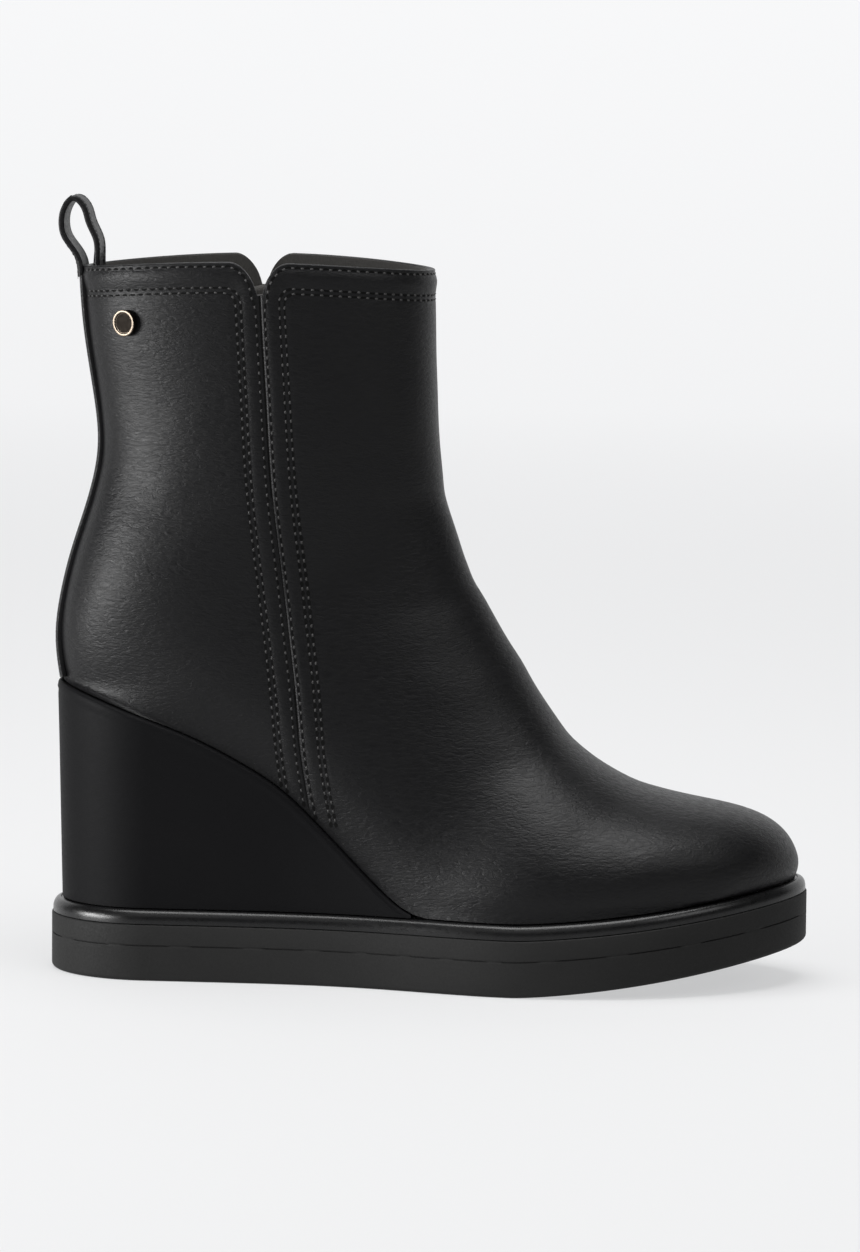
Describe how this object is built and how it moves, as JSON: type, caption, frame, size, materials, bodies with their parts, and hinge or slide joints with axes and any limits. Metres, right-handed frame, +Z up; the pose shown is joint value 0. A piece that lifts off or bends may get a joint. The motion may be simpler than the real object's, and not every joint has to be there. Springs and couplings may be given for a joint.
{
  "type": "wedge ankle boot",
  "caption": "Black smooth ankle boot on a wrapped wedge heel and thick matt sole, with a notched collar, double-stitched side seams and a pull loop.",
  "frame": {"origin": "on the floor, under the middle of the length and the middle of the heel width", "axes": "+X from heel to toe, +Y towards the inner side of the foot, +Z up"},
  "size_m": [0.2374, 0.0902, 0.2424],
  "materials": {
    "sole": "matt black moulded sole",
    "wrap": "smooth black wrapped cover",
    "lining": "dark woven lining",
    "upper": "smooth black leather with a soft sheen",
    "metal": "dark polished metal"
  },
  "bodies": {
    "root": {"outsole": "sole", "platform": "wrap", "wedge": "wrap", "insole": "lining", "upper": "upper", "backstay": "upper", "pull_loop": "upper", "side_gusset_lateral": "lining", "side_gusset_medial": "lining", "stud": "metal"}
  },
  "joints": []
}
